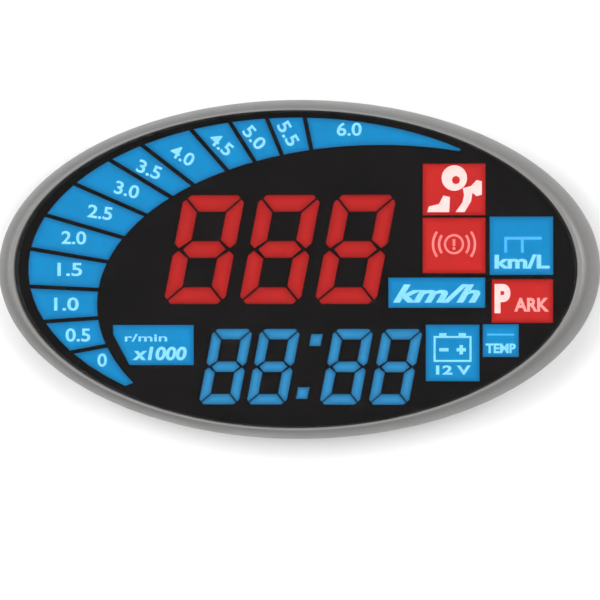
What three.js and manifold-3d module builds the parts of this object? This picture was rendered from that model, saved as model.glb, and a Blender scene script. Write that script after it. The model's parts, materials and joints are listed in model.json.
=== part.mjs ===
// Oval digital speed display: a vehicle head-up display unit that lies on a dashboard, face up.
// Millimetres. +Z points out of the face, +X to the reader's right, +Y to the top of the digits.
// The origin is the middle of the footprint, on the surface that the rubber feet stand on.
// Every plan outline is an oval: a circle of the stated radius along X, squashed in Y.

import * as THREE from 'three';
import { mergeVertices } from 'three/addons/utils/BufferGeometryUtils.js';
import Module from 'manifold-3d';

const wasm = await Module();
wasm.setup();

// Driving dimensions

const LENGTH = 150;
const WIDTH = 84;
const HEIGHT = 18;
const SQUASH = WIDTH / LENGTH;
const RIM_RADIUS = LENGTH / 2;
const FACE_RADIUS = 70; // the black face inside the lip of the trim ring

const FINE_SIDES = 72; // what shows
const PLAIN_SIDES = 48; // what is inside
const FIT = 0.3; // clearance between pieces that stand side by side
const STACK = 0.1; // clearance between flat pieces that lie on each other

// Heights of the layers, from the dashboard up
const FLOOR = { bottom: 1.2, top: 3 };
const MAIN_BOARD = { bottom: 4.4, top: 6 };
const PARTING = 8.6;
const DISPLAY_BOARD = { bottom: 9.6, top: 10.8 };
const REFLECTOR = { bottom: 10.9, top: 13.2 };
const INSERT = { bottom: 13.3, web: 14.4, top: 15.15 };
const LEDGE = { bottom: 13.6, top: 14.5 };
const MASK = { bottom: 14.6, top: 15.2 };
const ADHESIVE = { bottom: 15.3, top: 15.7 };
const LENS = { bottom: 15.8, top: 17 };
const LIP = 17.1; // underside of the trim ring's lip

// Plan radii of the walls
const WALL = { outer: 72.7, inner: 70.8 };
const TONGUE = { outer: 70.4, inner: 68.6 };
const LEDGE_RADIUS = 68.9;
const STACK_RADIUS = 68.4; // the reflector and the display board drop in through the ledge
const ADHESIVE_RADIUS = 69.4; // inner edge of the black adhesive under the lens
const WINDOW_RADIUS = 71; // the lens and the mask

// Digits: [x, y] of each centre
const SLANT = Math.tan(THREE.MathUtils.degToRad(11));
const SPEED_DIGIT = { width: 15.2, height: 26.7, stroke: 3.9, gap: 0.6, corner: 1.8 };
const SPEED_DIGIT_PITCH = 18.85;
const SPEED_DIGIT_MIDDLE = [-3.9, 4.9];
const CLOCK_DIGIT = { width: 9.8, height: 18.5, stroke: 2.4, gap: 0.45, corner: 1.2 };
const CLOCK_DIGIT_CENTRES = [[-17.4, -24.1], [-5.5, -24.1], [12.7, -24.1], [24.9, -24.1]];
const COLON_DOTS = [[5.1, -17.5], [1.8, -30.6]];
const COLON_DOT = 2.7;

// Crescent gauge: between an oval round the middle of the face and a wider one set off from it
const GAUGE = { radius: 66.8, x: 0, y: 0 };
const GAUGE_HOLLOW = { radius: 70.6, x: 20.9, y: -8.8 };
const GAUGE_HUB = { x: 11.8, y: -8 }; // the gaps between the bars point here
const GAUGE_GAP = 1.2;
const FIRST_GAP = THREE.MathUtils.degToRad(213.3);
const LAST_GAP = THREE.MathUtils.degToRad(88);
// From each gap to the next along the outer oval, from the lower tip upwards
const GAP_STEPS = [10.2, 9.5, 9.4, 9.2, 10.6, 10.6, 8.8, 12.8, 9.8, 9.2, 9.4];
const GAUGE_GAPS = GAP_STEPS.length + 1;
const FIRST_TIP = { x: -41.2, y: -28.4 };
const LAST_TIP = { x: 41.2, y: 29.7 };

// Symbol tiles: left, right, bottom and top edges
const TILES = {
  seat_belt_tile: { left: 31.7, right: 47.1, bottom: 13.4, top: 25.9, lit: 'red' },
  brake_tile: { left: 31.7, right: 47.1, bottom: -0.9, top: 12.6, lit: 'red' },
  fuel_rate_tile: { left: 48.3, right: 63.8, bottom: -1.3, top: 12.8, lit: 'blue' },
  speed_unit_tile: { left: 23.2, right: 47, bottom: -9.4, top: -2.2, lit: 'blue' },
  parking_tile: { left: 48.8, right: 63.8, bottom: -13.1, top: -2.6, lit: 'red' },
  battery_tile: { left: 32.5, right: 45.6, bottom: -27.5, top: -13.8, lit: 'blue' },
  temperature_tile: { left: 46.6, right: 55.3, bottom: -21.5, top: -13.7, lit: 'blue' },
  engine_speed_tile: { left: -45.5, right: -25.5, bottom: -23.6, top: -13.9, lit: 'blue' },
};
const CUT_CORNER = { tile: 'engine_speed_tile', across: 4, up: 7.5 }; // follows the crescent
const WEB_MARGIN = 0.24; // how far an insert's web stands out under the mask
const WINDOW_MARGIN = 0.12; // how far a window stands clear of its insert

// Fastening and feet
const POST = { x: 46, y: 19, radius: 3.2, bore: 1.6 };
const SCREW = { shank: 1.3, head: 2.6, headHeight: 1.8, length: 7.4 };
const BOSS = { radius: 4.2, top: 4.6, counterbore: 2.9, hole: 1.7, seat: 3.4 };
const STANDOFF = { x: 34, y: 15, radius: 2.6, bore: 1.2 };
const BOARD_SCREW = { shank: 0.9, head: 1.9, headHeight: 1.1, length: 4.1 };
const SLOT = { pitch: 3.2, halfWidth: 0.65, reach: 6 }; // in the floor, for sound and heat
const FOOT = { x: 34, y: 17, radius: 5.3, top: 2, pocketTop: 2.1 };

// Power socket, in the middle of the far side
const SOCKET = { halfWidth: 4.45, bottom: 4.15, top: 7.25, back: 26.5, mouth: 34 };
const RECESS = { halfWidth: 6, bottom: 3.4, top: 7.9, back: 34.2 };
const HOUSING = { halfWidth: 7.2, back: 33, front: 36.6, top: 8.6 };

// Thumb switch, under the rim at the right-hand end
const PIVOT = { x: 65, radius: 1.2, bore: 1.5 };
const ROCKER = { bottom: 4.4, top: 7.8, halfWidth: 5, inner: 70.7, tip: 74.5, arc: 12 };
const ROCKER_NOTCH = { halfWidth: 7.4, bottom: 3.9, from: 62 };
const NOTCH_CLEARANCE = 0.5; // how much wider the tongue is notched than what passes it
const SWITCH = { back: 50, front: 60.5, halfWidth: 6, floor: 6.9, top: 9.3 };

// Materials

function finish(colour, roughness, metalness = 0) {
  return new THREE.MeshStandardMaterial({ color: colour, roughness, metalness });
}

const MATERIALS = {
  satin: () => finish(0x98968f, 0.38, 0.6),
  caseBlack: () => finish(0x17181a, 0.6),
  clear: () => finish(0xcfd6da, 0.05),
  adhesive: () => finish(0x202124, 0.8),
  mask: () => finish(0x1a1819, 0.45),
  red: () => finish(0xdd3232, 0.4),
  blue: () => finish(0x1090d8, 0.4),
  white: () => finish(0xe8e8e4, 0.5),
  board: () => finish(0x1d5c3a, 0.5),
  chip: () => finish(0x1b1b1d, 0.5),
  metal: () => finish(0xb8b9bb, 0.3, 0.9),
  rubber: () => finish(0x141414, 0.9),
};

// Solids: closed meshes that can be joined and cut

function solid(geometry) {
  const bare = geometry.clone();
  bare.deleteAttribute('normal');
  bare.deleteAttribute('uv');
  const merged = mergeVertices(bare, 1e-4);
  return new wasm.Manifold(new wasm.Mesh({
    numProp: 3,
    vertProperties: merged.attributes.position.array,
    triVerts: Uint32Array.from(merged.index.array),
  }));
}

function geometryOf(body) {
  const mesh = body.getMesh();
  const geometry = new THREE.BufferGeometry();
  geometry.setAttribute('position', new THREE.BufferAttribute(Float32Array.from(mesh.vertProperties), 3));
  geometry.setIndex(new THREE.BufferAttribute(Uint32Array.from(mesh.triVerts), 1));
  return geometry;
}

function joined(bodies) {
  return bodies.reduce((whole, body) => whole.add(body));
}

function cut(body, tools) {
  return tools.reduce((rest, tool) => rest.subtract(tool), body);
}

/** A flat plate of any outline, a list of [x, y]. */
function plate(outline, bottom, top) {
  const shape = new THREE.Shape(outline.map(([x, y]) => new THREE.Vector2(x, y)));
  const geometry = new THREE.ExtrudeGeometry(shape, { depth: top - bottom, bevelEnabled: false });
  geometry.translate(0, 0, bottom);
  return solid(geometry);
}

function piercedPlate(outline, bottom, top, holes) {
  return cut(plate(outline, bottom, top), holes.map((hole) => plate(hole, bottom - 1, top + 1)));
}

function block(left, right, near, far, bottom, top) {
  const geometry = new THREE.BoxGeometry(right - left, far - near, top - bottom);
  geometry.translate((left + right) / 2, (near + far) / 2, (bottom + top) / 2);
  return solid(geometry);
}

function rod(x, y, radius, bottom, top, sides = 20) {
  const geometry = new THREE.CylinderGeometry(radius, radius, top - bottom, sides);
  geometry.rotateX(Math.PI / 2);
  geometry.translate(x, y, (bottom + top) / 2);
  return solid(geometry);
}

/** A wall or bowl that follows the oval. The profile is [radius, height], anticlockwise, and closes. */
function oval(profile, sides) {
  const points = [...profile, profile[0]].map(([radius, height]) => new THREE.Vector2(radius, height));
  const geometry = new THREE.LatheGeometry(points, sides);
  geometry.rotateX(Math.PI / 2);
  geometry.scale(1, SQUASH, 1);
  return solid(geometry);
}

function ovalOutline(radius, sides) {
  const curve = new THREE.EllipseCurve(0, 0, radius, radius * SQUASH);
  return curve.getPoints(sides).slice(0, -1).map((point) => [point.x, point.y]);
}

function roundOutline(x, y, radius, sides) {
  const curve = new THREE.EllipseCurve(x, y, radius, radius);
  return curve.getPoints(sides).slice(0, -1).map((point) => [point.x, point.y]);
}

function boxOutline(left, right, bottom, top) {
  return [[left, bottom], [right, bottom], [right, top], [left, top]];
}

function quadrants(x, y) {
  return [[x, y], [-x, y], [-x, -y], [x, -y]];
}

// Outlines of the lit windows

/** The seven segments of a slanted digit, mitred where they meet, each grown by a margin. */
function segmentOutlines(digit, margin) {
  const x = digit.width / 2 + margin;
  const y = digit.height / 2 + margin;
  const stroke = digit.stroke + 2 * margin;
  const mitre = (digit.gap - 2 * margin) / Math.SQRT2;
  const inX = x - stroke;
  const inY = y - stroke;
  const half = stroke / 2;
  const corner = digit.corner + (2 - Math.SQRT2) * margin;
  const cutShort = (corner - mitre) / 2; // where the mitre meets the cut corner
  const cutLong = (corner + mitre) / 2;
  const top = [
    [-x + corner, y], [x - corner, y], [x - cutLong, y - cutShort],
    [inX - mitre, inY], [-inX + mitre, inY], [-x + cutLong, y - cutShort],
  ];
  const upperRight = [
    [x, y - corner], [x, half * 0.6 + mitre], [x - half * 0.65, mitre],
    [inX, half + mitre], [inX, inY - mitre], [x - cutShort, y - cutLong],
  ];
  const middle = [
    [inX - mitre, half], [x - half - mitre, 0], [inX - mitre, -half],
    [-inX + mitre, -half], [-x + half + mitre, 0], [-inX + mitre, half],
  ];
  const flipped = (outline, signX, signY) => outline.map(([px, py]) => [px * signX, py * signY]);
  const upright = [
    top,
    middle,
    flipped(top, 1, -1),
    upperRight,
    flipped(upperRight, -1, 1),
    flipped(upperRight, 1, -1),
    flipped(upperRight, -1, -1),
  ];
  return upright.map((outline) => outline.map(([px, py]) => [px + py * SLANT, py]));
}

function moved(outline, [dx, dy]) {
  return outline.map(([x, y]) => [x + dx, y + dy]);
}

function speedDigitCentre(index) {
  return [SPEED_DIGIT_MIDDLE[0] + (index - 1) * SPEED_DIGIT_PITCH, SPEED_DIGIT_MIDDLE[1]];
}

/** Where a ray from a point inside an oval crosses it, as a point and the oval's own angle there. */
function crossing(start, towards, shape) {
  const dx = towards.x - start.x;
  const dy = (towards.y - start.y) / SQUASH;
  const sx = start.x - shape.x;
  const sy = (start.y - shape.y) / SQUASH;
  const a = dx * dx + dy * dy;
  const b = sx * dx + sy * dy;
  const c = sx * sx + sy * sy - shape.radius * shape.radius;
  const along = (-b + Math.sqrt(b * b - a * c)) / a;
  return Math.atan2(sy + along * dy, sx + along * dx);
}

function ovalArc(shape, from, to, steps) {
  const clockwise = Math.sin(to - from) < 0;
  const curve = new THREE.EllipseCurve(
    shape.x, shape.y, shape.radius, shape.radius * SQUASH, from, to, clockwise);
  return curve.getPoints(steps).map((point) => [point.x, point.y]);
}

/** The edges between bars: a tip, the gaps in their steps along the outer oval, and the other tip. */
function gaugeEdges() {
  const curve = new THREE.EllipseCurve(
    GAUGE.x, GAUGE.y, GAUGE.radius, GAUGE.radius * SQUASH, FIRST_GAP, LAST_GAP, true);
  const sum = (steps) => steps.reduce((total, step) => total + step, 0);
  const gaps = Array.from({ length: GAUGE_GAPS }, (_, index) => {
    const share = sum(GAP_STEPS.slice(0, index)) / sum(GAP_STEPS);
    const { x, y } = curve.getPointAt(share);
    return { x, y, width: GAUGE_GAP };
  });
  return [{ ...FIRST_TIP, width: 0 }, ...gaps, { ...LAST_TIP, width: 0 }];
}

/** One bar of the crescent, between two edges, grown by a margin. */
function barOutline(index, margin) {
  const edges = gaugeEdges();
  const outer = { ...GAUGE, radius: GAUGE.radius + margin };
  const hollow = { ...GAUGE_HOLLOW, radius: GAUGE_HOLLOW.radius - margin };
  const side = (edge, direction) => {
    const dx = edge.x - GAUGE_HUB.x;
    const dy = edge.y - GAUGE_HUB.y;
    const shift = direction * (edge.width / 2 - (edge.width ? margin : 0)) / Math.hypot(dx, dy);
    const offset = { x: dy * shift, y: -dx * shift };
    const start = { x: GAUGE_HUB.x + offset.x, y: GAUGE_HUB.y + offset.y };
    const end = { x: edge.x + offset.x, y: edge.y + offset.y };
    return { outer: crossing(start, end, outer), hollow: crossing(start, end, hollow) };
  };
  const from = side(edges[index], 1);
  const to = side(edges[index + 1], -1);
  const steps = index === GAUGE_GAPS ? 9 : 3;
  return [
    ...ovalArc(outer, from.outer, to.outer, steps),
    ...ovalArc(hollow, to.hollow, from.hollow, steps),
  ];
}

function tileOutline(name, margin) {
  const { left, right, bottom, top } = TILES[name];
  const corners = boxOutline(left - margin, right + margin, bottom - margin, top + margin);
  if (name !== CUT_CORNER.tile) return corners;
  const cutCorner = [
    [left - margin, bottom + CUT_CORNER.up],
    [left + CUT_CORNER.across, bottom - margin],
  ];
  return [...cutCorner, ...corners.slice(1)];
}

function colonOutlines(margin) {
  const half = COLON_DOT / 2 + margin;
  const dot = boxOutline(-half, half, -half, half).map(([x, y]) => [x + y * SLANT, y]);
  return COLON_DOTS.map((centre) => moved(dot, centre));
}

function barNumbers() {
  return Array.from({ length: GAUGE_GAPS + 1 }, (_, index) => index);
}

/** Every lit outline of the face, for the windows in the mask and the wells in the reflector. */
function litOutlines(margin) {
  const speed = [0, 1, 2].flatMap((index) =>
    segmentOutlines(SPEED_DIGIT, margin).map((outline) => moved(outline, speedDigitCentre(index))));
  const clock = CLOCK_DIGIT_CENTRES.flatMap((centre) =>
    segmentOutlines(CLOCK_DIGIT, margin).map((outline) => moved(outline, centre)));
  const bars = barNumbers().map((index) => barOutline(index, margin));
  const tiles = Object.keys(TILES).map((name) => tileOutline(name, margin));
  return [...speed, ...clock, ...colonOutlines(margin), ...bars, ...tiles];
}

// Light inserts

function insertOf(web, outlines) {
  const lit = outlines.map((outline) => plate(outline, INSERT.bottom, INSERT.top));
  return joined([plate(web, INSERT.bottom, INSERT.web), ...lit]);
}

function digitInsert(digit) {
  const x = digit.width / 2 + WEB_MARGIN;
  const y = digit.height / 2 + WEB_MARGIN;
  const web = boxOutline(-x, x, -y, y).map(([px, py]) => [px + py * SLANT, py]);
  return insertOf(web, segmentOutlines(digit, 0));
}

function colonInsert() {
  const [upper, lower] = COLON_DOTS;
  const half = COLON_DOT / 2 + WEB_MARGIN;
  const web = [
    [lower[0] - half, lower[1] - half], [lower[0] + half, lower[1] - half],
    [upper[0] + half, upper[1] + half], [upper[0] - half, upper[1] + half],
  ];
  return insertOf(web, colonOutlines(0));
}

// Face: ring, lens, adhesive, mask

function trimRing() {
  const shoulder = { radius: 70.2, height: 10.2 };
  const dome = Array.from({ length: 7 }, (_, step) => {
    const angle = (step / 6) * (Math.PI / 2);
    return [
      shoulder.radius + (RIM_RADIUS - shoulder.radius) * Math.cos(angle),
      shoulder.height + (HEIGHT - shoulder.height) * Math.sin(angle),
    ];
  });
  const skirt = [[WALL.outer + FIT, PARTING - 0.4], [74.3, PARTING - 0.4], [RIM_RADIUS, 9]];
  const lip = [[FACE_RADIUS + 0.4, HEIGHT - 0.2], [FACE_RADIUS, HEIGHT - 0.6], [FACE_RADIUS, LIP]];
  const pocket = [
    [WINDOW_RADIUS + FIT, LIP], [WINDOW_RADIUS + FIT, LEDGE.top + 0.2],
    [WALL.outer + FIT, LEDGE.top + 0.2],
  ];
  return oval([...skirt, ...dome, ...lip, ...pocket], FINE_SIDES);
}

function frontLens() {
  const chamfer = 0.3;
  return oval([
    [0, LENS.bottom], [WINDOW_RADIUS, LENS.bottom], [WINDOW_RADIUS, LENS.top - chamfer],
    [WINDOW_RADIUS - chamfer, LENS.top], [0, LENS.top],
  ], FINE_SIDES);
}

function lensAdhesive() {
  return oval([
    [ADHESIVE_RADIUS, ADHESIVE.bottom], [WINDOW_RADIUS, ADHESIVE.bottom],
    [WINDOW_RADIUS, ADHESIVE.top], [ADHESIVE_RADIUS, ADHESIVE.top],
  ], PLAIN_SIDES);
}

function faceMask() {
  const outline = ovalOutline(WINDOW_RADIUS, FINE_SIDES);
  return piercedPlate(outline, MASK.bottom, MASK.top, litOutlines(WINDOW_MARGIN));
}

// Case

function upperShell() {
  const wall = oval([
    [TONGUE.inner, PARTING - 1.3], [TONGUE.outer, PARTING - 1.3], [TONGUE.outer, PARTING + FIT],
    [WALL.outer, PARTING + FIT], [WALL.outer, LEDGE.top], [LEDGE_RADIUS, LEDGE.top],
    [LEDGE_RADIUS, LEDGE.bottom], [WALL.inner, LEDGE.bottom], [WALL.inner, PARTING + 0.9],
    [TONGUE.inner, PARTING + 0.9],
  ], PLAIN_SIDES);
  const lugTop = DISPLAY_BOARD.bottom - STACK;
  const posts = quadrants(POST.x, POST.y).flatMap(([x, y]) => [
    rod(x, y, POST.radius, BOSS.top + STACK, lugTop, 12),
    lug(x, y, lugTop),
  ]);
  const bores = quadrants(POST.x, POST.y).map(([x, y]) => rod(x, y, POST.bore, 0, lugTop - 0.6, 8));
  const socketReach = HOUSING.halfWidth + NOTCH_CLEARANCE;
  const rockerReach = ROCKER_NOTCH.halfWidth + NOTCH_CLEARANCE;
  const notchTop = PARTING + 0.2;
  const socketNotch = block(-socketReach, socketReach, HOUSING.back, WIDTH / 2, 0, notchTop);
  const rockerNotch = block(ROCKER_NOTCH.from, RIM_RADIUS, -rockerReach, rockerReach, 0, notchTop);
  return cut(joined([wall, ...posts]), [...bores, socketNotch, rockerNotch]);
}

/** The arm from a screw post out to the wall; the display board rests on it. */
function lug(x, y, top) {
  const outwards = new THREE.Vector2(x, y / (SQUASH * SQUASH)).normalize();
  const across = new THREE.Vector2(-outwards.y, outwards.x).multiplyScalar(2.4);
  const reach = outwards.clone().multiplyScalar(9.4);
  const outline = [
    [x + across.x, y + across.y], [x - across.x, y - across.y],
    [x - across.x + reach.x, y - across.y + reach.y], [x + across.x + reach.x, y + across.y + reach.y],
  ];
  return plate(outline, PARTING + FIT, top);
}

function lowerShell() {
  const bowl = oval([
    [0, FLOOR.bottom], [62, FLOOR.bottom], [65, 1.9], [70.9, 5.6], [WALL.outer, 7.2],
    [WALL.outer, PARTING], [WALL.inner, PARTING], [WALL.inner, 7.2],
    [64.4, 3.6], [62.4, FLOOR.top], [0, FLOOR.top],
  ], FINE_SIDES);
  const bosses = quadrants(POST.x, POST.y).map(([x, y]) =>
    rod(x, y, BOSS.radius, FLOOR.bottom + 0.5, BOSS.top, 12));
  const standoffs = quadrants(STANDOFF.x, STANDOFF.y).map(([x, y]) =>
    rod(x, y, STANDOFF.radius, FLOOR.top - 0.5, MAIN_BOARD.bottom - STACK, 10));
  const housing = block(
    -HOUSING.halfWidth, HOUSING.halfWidth, HOUSING.back, HOUSING.front,
    FLOOR.top - 0.5, HOUSING.top);
  const counterbores = quadrants(POST.x, POST.y).flatMap(([x, y]) => [
    rod(x, y, BOSS.counterbore, 0, BOSS.seat, 16),
    rod(x, y, BOSS.hole, 0, PARTING, 8),
  ]);
  const pilots = quadrants(STANDOFF.x, STANDOFF.y).map(([x, y]) =>
    rod(x, y, STANDOFF.bore, FLOOR.top - 0.7, PARTING, 8));
  const pockets = quadrants(FOOT.x, FOOT.y).map(([x, y]) =>
    rod(x, y, FOOT.radius + FIT, 0, FOOT.pocketTop));
  const recess = block(
    -RECESS.halfWidth, RECESS.halfWidth, RECESS.back, WIDTH / 2, RECESS.bottom, RECESS.top);
  const doorway = block(
    -SOCKET.halfWidth - 0.25, SOCKET.halfWidth + 0.25, HOUSING.back - 1, RECESS.back + 1,
    SOCKET.bottom - 0.2, SOCKET.top + 0.2);
  const notch = block(
    ROCKER_NOTCH.from, RIM_RADIUS, -ROCKER_NOTCH.halfWidth, ROCKER_NOTCH.halfWidth,
    ROCKER_NOTCH.bottom, HEIGHT);
  return cut(joined([bowl, ...bosses, ...standoffs, housing]), [
    ...counterbores, ...pilots, ...pockets, ...soundSlots(), recess, doorway, notch,
  ]);
}

/** Slots in the floor under the buzzer, which also let the heat out. */
function soundSlots() {
  const { pitch, halfWidth, reach } = SLOT;
  return [-2, -1, 0, 1, 2].map((step) => {
    const x = step * pitch;
    return block(x - halfWidth, x + halfWidth, -reach, reach, 0, FLOOR.top + 1);
  });
}

function screw(size) {
  const head = rod(0, 0, size.head, 0, size.headHeight, 16);
  const shank = rod(0, 0, size.shank, size.headHeight - 0.1, size.length, 8);
  const slot = size.head * 0.62;
  const recessDepth = size.headHeight * 0.45;
  const cross = [
    block(-slot, slot, -0.3, 0.3, -1, recessDepth),
    block(-0.3, 0.3, -slot, slot, -1, recessDepth),
  ];
  return cut(head.add(shank), cross);
}

function rubberFoot() {
  const edge = 0.5;
  const profile = [
    [0, 0], [FOOT.radius - edge, 0], [FOOT.radius, edge], [FOOT.radius, FOOT.top], [0, FOOT.top],
  ].map(([radius, height]) => new THREE.Vector2(radius, height));
  const geometry = new THREE.LatheGeometry(profile, 20);
  geometry.rotateX(Math.PI / 2);
  return solid(geometry);
}

// Boards and what they carry

/** The middle of each lit outline, where an LED stands. */
function middleOf(outline) {
  const total = outline.reduce(([sx, sy], [x, y]) => [sx + x, sy + y], [0, 0]);
  return [total[0] / outline.length, total[1] / outline.length];
}

function reflectorBlock() {
  const outline = ovalOutline(STACK_RADIUS, PLAIN_SIDES);
  return piercedPlate(outline, REFLECTOR.bottom, REFLECTOR.top, litOutlines(0));
}

function displayBoard() {
  const thickness = plate(ovalOutline(STACK_RADIUS, PLAIN_SIDES), DISPLAY_BOARD.bottom, DISPLAY_BOARD.top);
  const leds = litOutlines(0).map((outline) => {
    const [x, y] = middleOf(outline);
    return block(x - 0.55, x + 0.55, y - 0.4, y + 0.4, DISPLAY_BOARD.top - 0.2, DISPLAY_BOARD.top + 0.7);
  });
  return joined([thickness, ...leds]);
}

/** The main board reaches out to the power socket and to the thumb switch. */
function mainBoard() {
  const outline = [
    [-40, -20], [40, -20], [40, -7], [60, -7], [60, 7], [40, 7], [40, 22], [9, 22], [9, 32.6],
    [SOCKET.halfWidth + 0.25, 32.6], [SOCKET.halfWidth + 0.25, SOCKET.back - 0.2],
    [-SOCKET.halfWidth - 0.25, SOCKET.back - 0.2], [-SOCKET.halfWidth - 0.25, 32.6],
    [-9, 32.6], [-9, 22], [-40, 22],
  ];
  const holes = quadrants(STANDOFF.x, STANDOFF.y).map(([x, y]) => roundOutline(x, y, STANDOFF.bore, 8));
  return piercedPlate(outline, MAIN_BOARD.bottom, MAIN_BOARD.top, holes);
}

/** A chip: a moulded body on the flat skirt of its legs. */
function chip(width, depth, height, skirt) {
  const body = block(-width / 2, width / 2, -depth / 2, depth / 2, 0.1, height);
  const reach = width / 2 + skirt;
  const span = depth / 2 - 0.6;
  return body.add(block(-reach, reach, -span, span, 0, 0.35));
}

function quartzCrystal() {
  const base = block(-5.7, 5.7, -2.4, 2.4, 0, 0.5);
  const can = joined([
    block(-3, 3, -2, 2, 0.3, 2.8),
    rod(-3, 0, 2, 0.3, 2.8, 12),
    rod(3, 0, 2, 0.3, 2.8, 12),
  ]);
  return base.add(can);
}

function buzzer() {
  return cut(rod(0, 0, 5.5, 0, 3.1, 20), [rod(0, 0, 1, 1.2, 4, 8)]);
}

function powerInductor() {
  const frame = block(-3.6, 3.6, -3.6, 3.6, 0, 0.8);
  return joined([frame, rod(0, 0, 3.2, 0.6, 2.4, 12), rod(0, 0, 3.5, 2.2, 3, 12)]);
}

function smoothingCapacitor() {
  const corner = 0.9;
  const base = plate([
    [-3.3, -3.3], [3.3, -3.3], [3.3, 3.3 - corner], [3.3 - corner, 3.3], [-3.3 + corner, 3.3],
    [-3.3, 3.3 - corner],
  ], 0, 0.7);
  return base.add(rod(0, 0, 3.1, 0.5, 3.2, 16));
}

function boardLinkHeader() {
  const height = DISPLAY_BOARD.bottom - MAIN_BOARD.top - 2 * STACK;
  const body = block(-10, 10, -2.5, 2.5, 0, height);
  return cut(body, [
    block(-11, 11, 1.8, 3, 1, height - 1),
    block(-11, 11, -3, -1.8, 1, height - 1),
  ]);
}

/** A flat oval metal shell with a tongue inside, open towards +Y. */
function usbSocket() {
  const middle = (SOCKET.bottom + SOCKET.top) / 2;
  const shell = (inset, back, mouth) => {
    const radius = (SOCKET.top - SOCKET.bottom) / 2 - inset;
    const reach = SOCKET.halfWidth - inset - radius;
    const shape = new THREE.Shape();
    shape.absarc(reach, 0, radius, -Math.PI / 2, Math.PI / 2);
    shape.absarc(-reach, 0, radius, Math.PI / 2, -Math.PI / 2 + 2 * Math.PI);
    const geometry = new THREE.ExtrudeGeometry(shape, {
      depth: mouth - back, bevelEnabled: false, curveSegments: 6,
    });
    geometry.rotateX(-Math.PI / 2);
    geometry.translate(0, back, middle);
    return solid(geometry);
  };
  const inside = shell(0.35, SOCKET.back + 1.2, SOCKET.mouth + 1);
  const tongue = block(-3.2, 3.2, SOCKET.back + 0.6, SOCKET.mouth - 0.8, middle - 0.35, middle + 0.35);
  return cut(shell(0, SOCKET.back, SOCKET.mouth), [inside]).add(tongue);
}

// Thumb switch

function switchBase() {
  const { back, front, halfWidth, floor, top } = SWITCH;
  const rail = 1.6;
  const bottom = MAIN_BOARD.top + STACK;
  return joined([
    block(back, front, -halfWidth, halfWidth, bottom, floor),
    block(back, front, -halfWidth, -halfWidth + rail, floor - 0.1, top),
    block(back, front, halfWidth - rail, halfWidth, floor - 0.1, top),
    block(back, back + 1.2, -halfWidth, halfWidth, floor - 0.1, top),
    block(back, back + 6.5, -halfWidth, halfWidth, top - 0.5, top),
  ]);
}

function switchCarriage() {
  const bottom = SWITCH.floor + 0.2;
  const top = SWITCH.top - 0.7;
  return joined([
    block(SWITCH.back + 2.4, 59.5, -4.1, 4.1, bottom, top),
    block(59, PIVOT.x + 1.4, -2.4, 2.4, bottom, top),
    rod(PIVOT.x, 0, PIVOT.radius, 5.2, top, 16),
  ]);
}

function thumbRocker() {
  const hubRadius = 2.8;
  const hubTop = SWITCH.floor - 0.1;
  const hub = rod(PIVOT.x, 0, hubRadius, 5.2, hubTop, 20);
  const stem = block(PIVOT.x + 1.8, ROCKER.inner + 0.5, -2.5, 2.5, 5.2, hubTop);
  const swing = Math.asin(ROCKER.halfWidth / ROCKER.arc);
  const curve = new THREE.EllipseCurve(ROCKER.tip - ROCKER.arc, 0, ROCKER.arc, ROCKER.arc, -swing, swing);
  const pad = plate([
    ...curve.getPoints(10).map((point) => [point.x, point.y]),
    [ROCKER.inner, ROCKER.halfWidth], [ROCKER.inner, -ROCKER.halfWidth],
  ], ROCKER.bottom, ROCKER.top);
  return cut(joined([hub, stem, pad]), [rod(PIVOT.x, 0, PIVOT.bore, 0, HEIGHT, 16)]);
}

// The assembly

function add(group, name, body, material, position = [0, 0, 0]) {
  const mesh = new THREE.Mesh(geometryOf(body), MATERIALS[material]());
  mesh.name = name;
  mesh.position.set(...position);
  group.add(mesh);
  return mesh;
}

function caseGroup() {
  const group = new THREE.Group();
  add(group, 'trim_ring', trimRing(), 'satin');
  add(group, 'upper_shell', upperShell(), 'caseBlack');
  add(group, 'lower_shell', lowerShell(), 'caseBlack');
  const headLevel = BOSS.seat - STACK - SCREW.headHeight;
  quadrants(POST.x, POST.y).forEach(([x, y], index) => {
    add(group, `case_screw_${index + 1}`, screw(SCREW), 'metal', [x, y, headLevel]);
  });
  quadrants(FOOT.x, FOOT.y).forEach(([x, y], index) => {
    add(group, `rubber_foot_${index + 1}`, rubberFoot(), 'rubber', [x, y, 0]);
  });
  return group;
}

function faceGroup() {
  const group = new THREE.Group();
  add(group, 'front_lens', frontLens(), 'clear');
  add(group, 'lens_adhesive', lensAdhesive(), 'adhesive');
  add(group, 'face_mask', faceMask(), 'mask');
  [0, 1, 2].forEach((index) => {
    const [x, y] = speedDigitCentre(index);
    add(group, `speed_digit_${index + 1}`, digitInsert(SPEED_DIGIT), 'red', [x, y, 0]);
  });
  CLOCK_DIGIT_CENTRES.forEach(([x, y], index) => {
    add(group, `clock_digit_${index + 1}`, digitInsert(CLOCK_DIGIT), 'blue', [x, y, 0]);
  });
  add(group, 'clock_colon', colonInsert(), 'blue');
  barNumbers().forEach((index) => {
    const name = `gauge_bar_${String(index + 1).padStart(2, '0')}`;
    add(group, name, insertOf(barOutline(index, WEB_MARGIN), [barOutline(index, 0)]), 'blue');
  });
  Object.entries(TILES).forEach(([name, tile]) => {
    add(group, name, insertOf(tileOutline(name, WEB_MARGIN), [tileOutline(name, 0)]), tile.lit);
  });
  add(group, 'reflector_block', reflectorBlock(), 'white');
  return group;
}

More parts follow.
